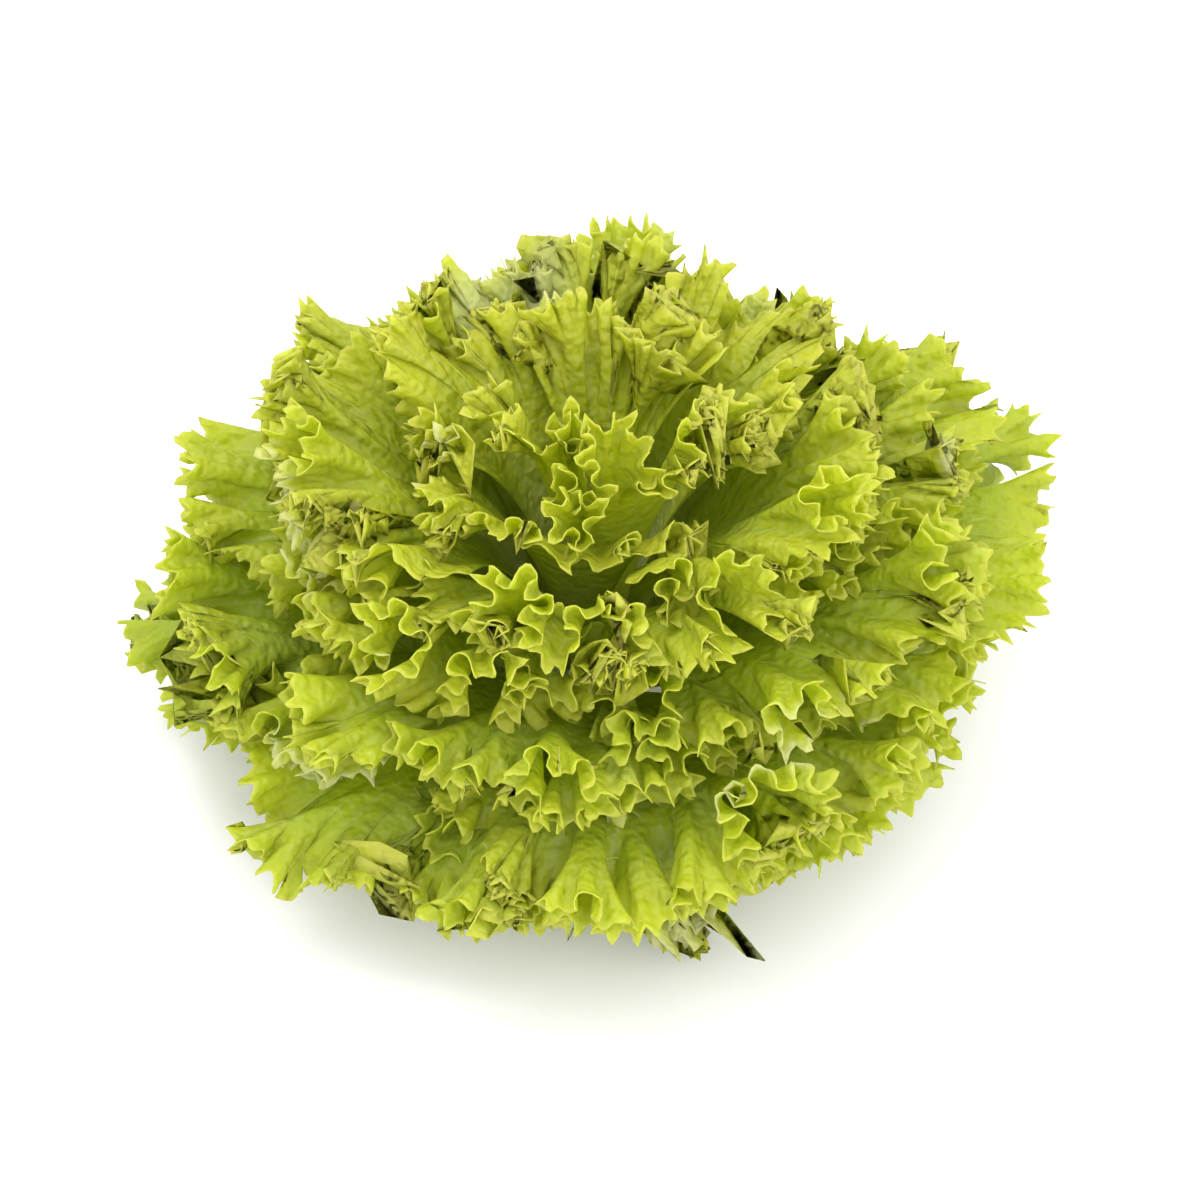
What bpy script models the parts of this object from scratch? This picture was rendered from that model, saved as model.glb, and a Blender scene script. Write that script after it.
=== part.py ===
"""A head of frilly green leaf lettuce: a cut stem and the ruffled leaves that grow round it.

Metres, +Z up. The origin is the middle of the stem's flat cut end, which the head stands on.
A leaf is a thin sheet. Its surface is laid out by column (-1 to 1 across the leaf) and by depth
(0 at the stem, 1 at the margin), then thrown into waves that grow towards the margin.
"""

import math

import bmesh
import bpy
import numpy as np
from mathutils.bvhtree import BVHTree

# The head: leaf margins end on a dome, which is measured from a centre above the cut stem
LEAVES = 32
HEAD_RADIUS = 0.132
DOME_CENTRE = 0.056
DOME_HEIGHT, DOME_DROP = 0.101, 0.085  # from the centre up to the top, and down to the bottom
OUTER_TILT, HEART_TILT = math.radians(116), math.radians(15)  # of a margin seen from the centre
GOLDEN_ANGLE = math.radians(137.508)
BULGES = (  # azimuth and half width in degrees, and share of the radius
    (-155, 24, -0.06),
    (-92, 20, 0.12),
    (-68, 12, -0.06),
    (-42, 16, 0.07),
    (4, 20, 0.04),
    (36, 14, -0.02),
    (70, 14, 0.04),
    (94, 8, -0.07),
    (116, 14, 0.17),
    (160, 20, -0.03),
)
STRETCH = 1.05  # how much wider than round the head has been pressed, and as much less deep

# The path of a leaf's middle line: slopes in degrees, and the curve's handles as shares of its span
FLOP_OUTER, FLOP_HEART = 36, 22  # how far the tip bends over from the direction it grew in
ROOT_SLOPE_OUTER, ROOT_SLOPE_HEART, ROOT_SLOPE_POWER = 12, 84, 0.8
ROOT_HANDLE, TIP_HANDLE = 0.42, 0.36

# The stem
STEM_RADIUS, STEM_TIP_RADIUS, STEM_TAPER = 0.0160, 0.0050, 1.6
STEM_HEIGHT, TIP_ROUNDING = 0.054, 0.002
FOOT_BEVEL, FOOT_HEIGHT = 0.0012, 0.004
STEM_SIDES, STEM_RINGS = 20, 6
ROOT_LOW, ROOT_HIGH = 0.008, 0.050  # where the outermost leaf and the heart leaf leave the stem

# A leaf
HALF_WIDTH = math.radians(41)  # as an angle round the stem
HEART_WRAP = 0.45  # how much further round the stem the heart leaf reaches
ROOT_SHARE, SPREAD_POWER = 0.46, 0.8  # width at the root, and how it grows towards the margin
SIDES_OUTER, SIDES_HEART, SIDE_POWER = 0.32, 0.14, 2.4  # the sides' shortening against the middle
OUTLINE_VARIATION = 0.040
OUTLINE_WAVES, SWELL_WAVES, DRIFT_WAVES = 5, 6, 3  # sine waves in each random line along a leaf
TURN_RANGE = (0.6, 1.6)  # how far the turns of such a sine wave stray from whole numbers
MIDDLE_POINTS = 50  # that a leaf's length is measured by
AZIMUTH_JITTER, LAYER_SLANT = 0.07, 0.015
WIDTH_RANGE, REACH_RANGE = (0.92, 1.06), (0.92, 1.06)
MARGIN_THICKNESS, ROOT_THICKNESS = 0.0009, 0.0022
GAP = 0.0004  # between the stem and a leaf
LOWEST = 0.0010  # no leaf hangs lower than this

# The waves of the margin: wavelength, then height, overhang and flare as shares of it
WAVES = (
    {"length": 0.075, "height": 0.12, "overhang": 0.02, "flare": 0.04, "band": 0.085, "power": 1.5},
    {"length": 0.030, "height": 0.22, "overhang": 0.04, "flare": 0.08, "band": 0.040, "power": 1.3},
)
WAVE_VARIATION, PHASE_DRIFT = 0.28, 0.12
ROOM = 0.85  # the part of the space beside a neighbouring leaf that the waves may fill
AXIS_ROOM = 0.5  # the same across the head's axis, as a share of the distance to it
SQUARENESS_POWER = 1.5  # how fast the waves fade where the leaf's ribs run along the margin
HEART_FINENESS = 0.30  # how much shorter the heart leaf's waves are
ROOM_EDGE = math.radians(9) / 0.02  # how gradually that space grows where a neighbour ends
LIMIT_POWER = 4  # how sharply a wave stops growing where it meets the end of its room
TOOTH = 0.0020

# How finely a leaf is cut into triangles
MARGIN_STEP = 0.0052  # length of a segment along the waved margin
ROW_STEPS = (8, 8, 4, 2, 1)  # margin segments spanned by one segment of each row, root first
ROW_DEPTHS = (0, 0.30, 0.60)  # of the smooth rows
ROW_THICKENING = (1, 0.4, 0, 0, 0)  # from the margin's thickness towards the root's
LAST_ROW_INSET = 0.024  # the row behind the margin
FINENESS = 8  # columns worked out for each one kept
DENSE_COLUMNS, FINE_ROWS = 4000, 81
BESIDE_MARGIN = 0.98, 0.99, 1.0  # depths of the rows that show how the margin runs

# The head is one of many that may be drawn
SEED = 5

# A leaf is drawn again and again until its solid lies clear of itself and of the leaves before it
CLEARANCE = 0.0004  # added to its thickness while that is tried
MOST_DRAWS = 400

# Surfaces
LEAF_GREEN = (0.36, 0.45, 0.04, 1)
HEART_GREEN = (0.52, 0.56, 0.06, 1)
STEM_WHITE = (0.72, 0.74, 0.52, 1)
LEAF_ROUGHNESS, STEM_ROUGHNESS = 0.45, 0.5
SHARP_EDGE = math.radians(40)
HEART_FROM = 0.75  # layer where the leaves turn yellower


def smooth_step(share):
    """0 to 1 with level ends."""
    share = np.clip(share, 0, 1)
    return share * share * (3 - 2 * share)


def wander(rng, waves, strength):
    """A smooth random function of a column, made of a few sine waves."""
    turns = rng.uniform(*TURN_RANGE, waves) * np.arange(1, waves + 1)
    heights = rng.normal(0, 1, waves) / np.sqrt(np.arange(1, waves + 1))
    heights *= strength / np.sqrt((heights**2).sum() / 2)
    starts = rng.uniform(0, 2 * math.pi, waves)
    return lambda x: sum(
        h * np.sin(t * math.pi * x + s) for h, t, s in zip(heights, turns, starts)
    )


def turn_between(a, b):
    """The angle from b to a, from minus half a turn to half a turn."""
    return (a - b + math.pi) % (2 * math.pi) - math.pi


def unit(vectors):
    """Each vector at length 1."""
    return vectors / np.maximum(np.linalg.norm(vectors, axis=-1, keepdims=True), 1e-12)


def run_along(points):
    """Distance along a line of points, at each of them."""
    return np.concatenate([[0], np.cumsum(np.linalg.norm(np.diff(points, axis=0), axis=1))])


def sheet_axes(points):
    """Unit vectors of a sheet: along its columns, towards its margin, and across it."""
    along = unit(np.gradient(points, axis=1))
    outward = np.gradient(points, axis=0)
    outward = unit(outward - along * (outward * along).sum(-1, keepdims=True))
    return along, outward, np.cross(along, outward)


def stem_radius(height):
    """Radius of the stem, which narrows faster towards its tip."""
    share = np.clip(height / STEM_HEIGHT, 0, 1)
    return STEM_RADIUS - (STEM_RADIUS - STEM_TIP_RADIUS) * share**STEM_TAPER


def midline(layer, share):
    """Distance from the axis and height of a leaf's middle line: a Bezier curve from stem to dome.

    Layer 0 is the outermost leaf and 1 the heart. The curves of two layers never cross.
    """
    tilt = OUTER_TILT + (HEART_TILT - OUTER_TILT) * layer
    rise = np.where(np.cos(tilt) > 0, DOME_HEIGHT, DOME_DROP)
    end = (HEAD_RADIUS * np.sin(tilt), DOME_CENTRE + rise * np.cos(tilt))
    root_height = ROOT_LOW + (ROOT_HIGH - ROOT_LOW) * layer
    root = (stem_radius(root_height) + GAP + ROOT_THICKNESS / 2, root_height)
    flop = np.radians(FLOP_OUTER + (FLOP_HEART - FLOP_OUTER) * layer)
    end_slope = math.pi / 2 - tilt - flop
    turned = np.clip(layer, 0, 1) ** ROOT_SLOPE_POWER
    root_slope = np.radians(ROOT_SLOPE_OUTER + (ROOT_SLOPE_HEART - ROOT_SLOPE_OUTER) * turned)
    span = np.hypot(end[0] - root[0], end[1] - root[1])
    beyond = np.maximum(share - 1, 0) * span
    share = np.minimum(share, 1)
    near, far = ROOT_HANDLE * span, TIP_HANDLE * span
    controls = (
        root,
        (root[0] + near * np.cos(root_slope), root[1] + near * np.sin(root_slope)),
        (end[0] - far * np.cos(end_slope), end[1] - far * np.sin(end_slope)),
        end,
    )
    weights = ((1 - share) ** 3, 3 * share * (1 - share) ** 2, 3 * share**2 * (1 - share), share**3)
    radius = sum(w * c[0] for w, c in zip(weights, controls)) + beyond * np.cos(end_slope)
    height = sum(w * c[1] for w, c in zip(weights, controls)) + beyond * np.sin(end_slope)
    return radius, height


def head_point(azimuth, layer, share):
    """The point of the head on one layer, at an azimuth, a share of the way from stem to dome."""
    radius, height = midline(layer, share)
    bulge = sum(
        size * np.exp(-((turn_between(azimuth, math.radians(at)) / math.radians(width)) ** 2))
        for at, width, size in BULGES
    )
    radius = radius * (1 + bulge * smooth_step(share))
    side, back = radius * np.sin(azimuth), -radius * np.cos(azimuth)
    pressed = 1 + (STRETCH - 1) * smooth_step(share)
    return np.stack([side * pressed, back / pressed, height], axis=-1)


def half_width(layer):
    """Half of a leaf's width as an angle round the stem: the heart leaves wrap further round."""
    return HALF_WIDTH * (1 + HEART_WRAP * layer**2)


class Leaf:
    """One leaf's own shape, one of the many that may be drawn for its place in the head."""

    def __init__(self, number, draw):
        rng = np.random.default_rng((SEED, number, draw))
        self.number = number
        self.layer = number / (LEAVES - 1)
        self.azimuth = number * GOLDEN_ANGLE + rng.uniform(-AZIMUTH_JITTER, AZIMUTH_JITTER)
        self.half_width = half_width(self.layer) * rng.uniform(*WIDTH_RANGE)
        self.reach = rng.uniform(*REACH_RANGE)
        self.slant = rng.uniform(-LAYER_SLANT, LAYER_SLANT)
        self.outline = wander(rng, OUTLINE_WAVES, OUTLINE_VARIATION)
        self.starts = [rng.uniform(0, 2 * math.pi) for _ in WAVES]
        self.swells = [wander(rng, SWELL_WAVES, WAVE_VARIATION) for _ in WAVES]
        self.drifts = [wander(rng, DRIFT_WAVES, PHASE_DRIFT) for _ in WAVES]
        shares = np.linspace(0, 1, MIDDLE_POINTS)[:, None]
        middle = self.smooth_sheet(np.zeros((1, 1)), shares)[:, 0]
        self.length = run_along(middle)[-1]
        self.dense_columns = np.linspace(-1, 1, DENSE_COLUMNS)
        self.calm, self.vigour = self.room(self.dense_columns)
        self.phases, self.columns = self.follow_margin()

    def smooth_sheet(self, column, depth):
        """The leaf with no waves in it: a fan whose sides are shorter than its middle."""
        spread = ROOT_SHARE + (1 - ROOT_SHARE) * depth**SPREAD_POWER
        shortening = SIDES_OUTER + (SIDES_HEART - SIDES_OUTER) * self.layer
        outline = 1 - shortening * np.abs(column) ** SIDE_POWER
        outline = outline + self.outline(column) * smooth_step(depth)
        return head_point(
            self.azimuth + self.half_width * spread * column,
            self.layer + self.slant * column,
            depth * self.reach * outline,
        )

    def room(self, column):
        """How far the waves may swing to either side at each column, clear of the next leaves."""
        azimuth = self.azimuth + self.half_width * column
        inner, _, margin = self.smooth_sheet(column, np.array(BESIDE_MARGIN)[:, None])
        space = AXIS_ROOM * np.hypot(margin[:, 0], margin[:, 1])
        for other in range(LEAVES):
            if other == self.number:
                continue
            beside = np.abs(turn_between(azimuth, other * GOLDEN_ANGLE)) - half_width(other / (LEAVES - 1))
            apart = abs(other - self.number) / (LEAVES - 1) * (OUTER_TILT - HEART_TILT) * HEAD_RADIUS
            apart = apart + np.maximum(beside, 0) / ROOM_EDGE
            space = np.minimum(space, apart)
        along, outward = unit(np.gradient(margin, axis=0)), unit(margin - inner)
        squareness = np.linalg.norm(np.cross(along, outward), axis=-1)
        return space * ROOM / 2, squareness**SQUARENESS_POWER

    def add_wave(self, sheet, depth, column, number, phase):
        """Throws a sheet into one set of waves, whose crests overhang and flare at the margin."""
        wave = WAVES[number]
        along, outward, across = sheet_axes(sheet)
        start = 1 - wave["band"] / self.length
        grown = np.clip((depth - start) / (1 - start), 0, 1) ** wave["power"]
        swing = self.lengths[number] * wave["height"] * (1 + self.swells[number](column))
        swing = swing * np.interp(column, self.dense_columns, self.vigour)
        most = np.interp(column, self.dense_columns, self.calm)
        size = grown * swing / (1 + (swing / most) ** LIMIT_POWER) ** (1 / LIMIT_POWER)
        size = size / wave["height"]
        over = size * wave["overhang"] * np.sin(2 * phase)
        back = size * grown * wave["flare"] * np.sin(phase) ** 2
        rise = size * wave["height"] * np.sin(phase)
        return sheet + across * rise[..., None] - along * over[..., None] - outward * back[..., None]

    def follow_margin(self):
        """Each set of waves' phase by column, and the columns that divide the waved margin evenly."""
        column = self.dense_columns
        depth = np.array(BESIDE_MARGIN)[:, None]
        sheet = self.smooth_sheet(column, depth)
        phases, self.lengths = [], []
        for number, wave in enumerate(WAVES):
            run = run_along(sheet[-1])
            length = wave["length"] * (1 - HEART_FINENESS * self.layer**2)
            count = max(1, round(run[-1] / length))
            self.lengths.append(min(length, run[-1] / count))
            drift = self.drifts[number](column) + count * run / run[-1]
            phases.append(2 * math.pi * drift + self.starts[number])
            sheet = self.add_wave(sheet, depth, column, number, phases[-1])
        run = run_along(sheet[-1])
        self.steps = max(1, round(run[-1] / MARGIN_STEP / ROW_STEPS[0])) * ROW_STEPS[0]
        even = np.linspace(0, run[-1], self.steps * FINENESS + 1)
        return phases, np.interp(even, run, column)

    def sheet(self):
        """The waved leaf as rows of points, root first, picked from a finer sheet."""
        fine = np.linspace(0, 1, FINE_ROWS)
        depth = fine[:, None]
        points = self.smooth_sheet(self.columns, depth)
        for number in range(len(WAVES)):
            phase = np.interp(self.columns, self.dense_columns, self.phases[number])
            points = self.add_wave(points, depth, self.columns, number, phase)
        rows = [*ROW_DEPTHS, 1 - LAST_ROW_INSET / self.length, 1]
        picked = points[[int(np.abs(fine - row).argmin()) for row in rows], ::FINENESS]
        _, outward, _ = sheet_axes(points)
        picked[-1, 1::2] += TOOTH * outward[-1, FINENESS :: 2 * FINENESS]
        picked[..., 2] = np.maximum(picked[..., 2], LOWEST + MARGIN_THICKNESS)
        return picked


def sheet_triangles(steps):
    """Corners of a sheet's triangles, where each row has as many points as the next or half."""
    triangles = []
    for row, (low, high) in enumerate(zip(ROW_STEPS, ROW_STEPS[1:])):
        for a in range(0, steps, low):
            b, mid = a + low, a + high
            if high == low:
                triangles += [((row, a), (row, b), (row + 1, b)), ((row, a), (row + 1, b), (row + 1, a))]
            else:
                triangles += [
                    ((row, a), (row + 1, mid), (row + 1, a)),
                    ((row, a), (row, b), (row + 1, mid)),
                    ((row, b), (row + 1, b), (row + 1, mid)),
                ]
    return triangles


def leaf_solid(leaf, extra):
    """Points and triangles of a leaf: both faces of its sheet and the rim that closes them."""
    rows = leaf.sheet()
    places = [(row, at) for row, step in enumerate(ROW_STEPS) for at in range(0, leaf.steps + 1, step)]
    index = {place: number for number, place in enumerate(places)}
    middle = np.array([rows[place] for place in places])
    front = np.array([[index[place] for place in corners] for corners in sheet_triangles(leaf.steps)])
    corners = middle[front]
    normals = np.zeros_like(middle)
    facing = unit(np.cross(corners[:, 1] - corners[:, 0], corners[:, 2] - corners[:, 0]))
    for corner in front.T:
        np.add.at(normals, corner, facing)
    thickening = np.array([ROW_THICKENING[row] for row, _ in places])[:, None]
    thickness = MARGIN_THICKNESS + (ROOT_THICKNESS - MARGIN_THICKNESS) * thickening + extra
    offset = unit(normals) * thickness / 2
    back = front[:, ::-1] + len(middle)
    edges = {(int(a), int(b)) for corner in front for a, b in zip(corner, np.roll(corner, -1))}
    rim = [(a, b) for a, b in sorted(edges) if (b, a) not in edges]
    below = len(middle)
    sides = [(b, a, a + below) for a, b in rim] + [(b, a + below, b + below) for a, b in rim]
    return np.concatenate([middle + offset, middle - offset]), np.concatenate([front, back, sides])


def draw_leaves():
    """The solid of every leaf, outermost first, with none crossing itself or one before it."""
    solids, trees = [], []
    for number in range(LEAVES):
        for draw in range(MOST_DRAWS):
            leaf = Leaf(number, draw)
            points, triangles = leaf_solid(leaf, CLEARANCE)
            tree = BVHTree.FromPolygons(points.tolist(), triangles.tolist(), all_triangles=True)
            if not any(tree.overlap(other) for other in [tree, *trees]):
                break
        else:
            raise ValueError(f"no draw of leaf {number + 1} lies clear of the others")
        trees.append(tree)
        solids.append(leaf_solid(leaf, 0))
    return solids


def clear_scene():
    """Empties the scene."""
    for thing in list(bpy.data.objects):
        bpy.data.objects.remove(thing, do_unlink=True)


def material(name, colour, roughness):
    """A plain surface of one colour."""
    made = bpy.data.materials.new(name)
    made.use_nodes = True
    shader = made.node_tree.nodes["Principled BSDF"]
    shader.inputs["Base Color"].default_value = colour
    shader.inputs["Roughness"].default_value = roughness
    shader.inputs["Metallic"].default_value = 0
    return made


def make_leaf(number, solid, finish):
    """One leaf, from the points and triangles of its solid."""
    data = bpy.data.meshes.new(f"leaf_{number + 1:02d}")
    points, triangles = solid
    data.from_pydata(points.tolist(), [], triangles.tolist())
    data.materials.append(finish)
    made = bpy.data.objects.new(data.name, data)
    bpy.context.collection.objects.link(made)
    return made


def make_stem(finish):
    """The cut stem: a turned profile with a flat cut end and a blunt growing tip."""
    profile = [(0.0, 0.0), (STEM_RADIUS - FOOT_BEVEL, 0.0)]
    for height in (FOOT_HEIGHT, *np.linspace(3 * FOOT_HEIGHT, STEM_HEIGHT, STEM_RINGS)):
        profile.append((float(stem_radius(height)), float(height)))
    profile.append((0.0, STEM_HEIGHT + TIP_ROUNDING))
    mesh = bmesh.new()
    line = [mesh.verts.new((r, 0, z)) for r, z in profile]
    edges = [mesh.edges.new(pair) for pair in zip(line, line[1:])]
    bmesh.ops.spin(
        mesh,
        geom=line + edges,
        cent=(0, 0, 0),
        axis=(0, 0, 1),
        angle=2 * math.pi,
        steps=STEM_SIDES,
    )
    bmesh.ops.remove_doubles(mesh, verts=mesh.verts, dist=1e-6)
    bmesh.ops.recalc_face_normals(mesh, faces=mesh.faces)
    data = bpy.data.meshes.new("stem")
    mesh.to_mesh(data)
    mesh.free()
    data.shade_smooth()
    data.set_sharp_from_angle(angle=SHARP_EDGE)
    data.materials.append(finish)
    made = bpy.data.objects.new("stem", data)
    bpy.context.collection.objects.link(made)
    return made


def main():
    """Makes the stem and the leaves, each leaf with its own solid."""
    clear_scene()
    leaf_finish = material("leaf green", LEAF_GREEN, LEAF_ROUGHNESS)
    heart_finish = material("heart green", HEART_GREEN, LEAF_ROUGHNESS)
    make_stem(material("stem white", STEM_WHITE, STEM_ROUGHNESS))
    for number, solid in enumerate(draw_leaves()):
        in_heart = number >= HEART_FROM * (LEAVES - 1)
        make_leaf(number, solid, heart_finish if in_heart else leaf_finish)


main()
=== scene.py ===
"""Looks of a head of frilly green leaf lettuce: fine ruffled leaves and a cut stem on a pale floor.

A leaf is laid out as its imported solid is, by column (-1 to 1 across the leaf) and by depth (0 at
the stem, 1 at the margin). The solid's waves keep their places and are made deeper, and finer
curls, teeth and veins are added.
"""

import logging
import math
from dataclasses import dataclass, field
from enum import Enum
from typing import Any, Callable

import bpy
import numpy as np
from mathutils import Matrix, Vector


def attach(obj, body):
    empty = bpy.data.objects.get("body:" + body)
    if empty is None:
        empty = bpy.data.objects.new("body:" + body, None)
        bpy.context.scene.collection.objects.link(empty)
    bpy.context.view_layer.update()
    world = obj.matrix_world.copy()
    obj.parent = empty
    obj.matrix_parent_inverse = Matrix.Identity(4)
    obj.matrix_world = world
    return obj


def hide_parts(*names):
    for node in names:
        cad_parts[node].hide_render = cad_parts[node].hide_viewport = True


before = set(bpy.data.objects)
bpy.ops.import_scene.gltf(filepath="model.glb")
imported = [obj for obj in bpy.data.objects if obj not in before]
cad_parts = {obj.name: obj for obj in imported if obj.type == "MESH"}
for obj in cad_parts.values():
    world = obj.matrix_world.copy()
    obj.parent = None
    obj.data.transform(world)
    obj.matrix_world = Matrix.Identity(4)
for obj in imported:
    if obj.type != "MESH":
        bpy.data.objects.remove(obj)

log = logging.getLogger("lettuce")
Array = np.ndarray
Colour = tuple[float, float, float]


class Slot(Enum):
    """The record's material slots."""

    LEAF = "leaf green"
    HEART = "heart green"
    STEM = "stem white"


def smooth_step(share: Array) -> Array:
    """0 to 1 with level ends."""
    share = np.clip(share, 0, 1)
    return share * share * (3 - 2 * share)


def wander(rng: np.random.Generator, waves: int, strength: float) -> Callable[[Array], Array]:
    """Makes a smooth random function of a column from a few sine waves.

    Args:
        rng: source of the random draws.
        waves: how many sine waves are added up.
        strength: root mean square size of the sum.

    Returns:
        The function, from columns to sizes.
    """
    turns = rng.uniform(0.6, 1.6, waves) * np.arange(1, waves + 1)
    heights = rng.normal(0, 1, waves) / np.sqrt(np.arange(1, waves + 1))
    heights *= strength / np.sqrt((heights**2).sum() / 2)
    starts = rng.uniform(0, 2 * math.pi, waves)
    return lambda x: sum(h * np.sin(t * math.pi * x + s) for h, t, s in zip(heights, turns, starts))


def turn_between(a: Array, b: float) -> Array:
    """The angle from b to a, from minus half a turn to half a turn."""
    return (a - b + math.pi) % (2 * math.pi) - math.pi


def unit(vectors: Array) -> Array:
    """Each vector at length 1."""
    return vectors / np.maximum(np.linalg.norm(vectors, axis=-1, keepdims=True), 1e-12)


def run_along(points: Array) -> Array:
    """Distance along a line of points, at each of them."""
    return np.concatenate([[0], np.cumsum(np.linalg.norm(np.diff(points, axis=0), axis=1))])


def sheet_axes(points: Array) -> tuple[Array, Array, Array]:
    """Unit vectors of a sheet of points.

    Args:
        points: rows of points, root first.

    Returns:
        The directions along the rows, towards the margin and across the sheet.
    """
    along = unit(np.gradient(points, axis=1))
    outward = np.gradient(points, axis=0)
    outward = unit(outward - along * (outward * along).sum(-1, keepdims=True))
    return along, outward, np.cross(along, outward)


@dataclass(frozen=True)
class Wave:
    """One set of waves round a margin: lengths in metres, the rest as shares of the wavelength."""

    length: float
    height: float
    overhang: float
    flare: float
    band: float
    power: float


@dataclass(frozen=True)
class HeadForm:
    """Sizes of the whole head, as its solids have them."""

    seed: int = 5
    leaves: int = 32
    radius: float = 0.132
    dome_centre: float = 0.056
    dome_height: float = 0.101
    dome_drop: float = 0.085
    outer_tilt: float = math.radians(116)
    heart_tilt: float = math.radians(15)
    golden_angle: float = math.radians(137.508)
    bulges: tuple[tuple[float, float, float], ...] = (
        (-155, 24, -0.06),
        (-92, 20, 0.12),
        (-68, 12, -0.06),
        (-42, 16, 0.07),
        (4, 20, 0.04),
        (36, 14, -0.02),
        (70, 14, 0.04),
        (94, 8, -0.07),
        (116, 14, 0.17),
        (160, 20, -0.03),
    )
    stretch: float = 1.05
    flop_outer: float = 36
    flop_heart: float = 22
    root_slope_outer: float = 12
    root_slope_heart: float = 84
    root_slope_power: float = 0.8
    root_handle: float = 0.42
    tip_handle: float = 0.36
    stem_radius: float = 0.0160
    stem_tip_radius: float = 0.0050
    stem_taper: float = 1.6
    stem_height: float = 0.054
    root_low: float = 0.008
    root_high: float = 0.050
    root_gap: float = 0.0015
    half_width: float = math.radians(41)
    heart_wrap: float = 0.45

    def stem_at(self, height: Array) -> Array:
        """Radius of the stem, which narrows faster towards its tip."""
        share = np.clip(height / self.stem_height, 0, 1)
        return self.stem_radius - (self.stem_radius - self.stem_tip_radius) * share**self.stem_taper

    def width_at(self, layer: float) -> float:
        """Half of a leaf's width as an angle round the stem: the heart leaves wrap further round."""
        return self.half_width * (1 + self.heart_wrap * layer**2)

    def midline(self, layer: Array, share: Array) -> tuple[Array, Array]:
        """Follows a leaf's middle line, a Bezier curve from stem to dome.

        Args:
            layer: 0 for the outermost leaf to 1 for the heart.
            share: how far along the line, from 0 at the stem to 1 on the dome.

        Returns:
            Distance from the axis, and height.
        """
        tilt = self.outer_tilt + (self.heart_tilt - self.outer_tilt) * layer
        rise = np.where(np.cos(tilt) > 0, self.dome_height, self.dome_drop)
        end = (self.radius * np.sin(tilt), self.dome_centre + rise * np.cos(tilt))
        root_height = self.root_low + (self.root_high - self.root_low) * layer
        root = (self.stem_at(root_height) + self.root_gap, root_height)
        flop = np.radians(self.flop_outer + (self.flop_heart - self.flop_outer) * layer)
        end_slope = math.pi / 2 - tilt - flop
        turned = np.clip(layer, 0, 1) ** self.root_slope_power
        slopes = self.root_slope_outer, self.root_slope_heart
        root_slope = np.radians(slopes[0] + (slopes[1] - slopes[0]) * turned)
        span = np.hypot(end[0] - root[0], end[1] - root[1])
        beyond = np.maximum(share - 1, 0) * span
        share = np.minimum(share, 1)
        near, far = self.root_handle * span, self.tip_handle * span
        controls = (
            root,
            (root[0] + near * np.cos(root_slope), root[1] + near * np.sin(root_slope)),
            (end[0] - far * np.cos(end_slope), end[1] - far * np.sin(end_slope)),
            end,
        )
        rest = 1 - share
        weights = (rest**3, 3 * share * rest**2, 3 * share**2 * rest, share**3)
        radius = sum(w * c[0] for w, c in zip(weights, controls)) + beyond * np.cos(end_slope)
        height = sum(w * c[1] for w, c in zip(weights, controls)) + beyond * np.sin(end_slope)
        return radius, height

    def point(self, azimuth: Array, layer: Array, share: Array) -> Array:
        """The point of the head on one layer, at an azimuth, a share of the way from stem to dome."""
        radius, height = self.midline(layer, share)
        bulge = sum(
            size * np.exp(-((turn_between(azimuth, math.radians(at)) / math.radians(width)) ** 2))
            for at, width, size in self.bulges
        )
        radius = radius * (1 + bulge * smooth_step(share))
        side, back = radius * np.sin(azimuth), -radius * np.cos(azimuth)
        pressed = 1 + (self.stretch - 1) * smooth_step(share)
        return np.stack([side * pressed, back / pressed, height], axis=-1)


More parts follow.
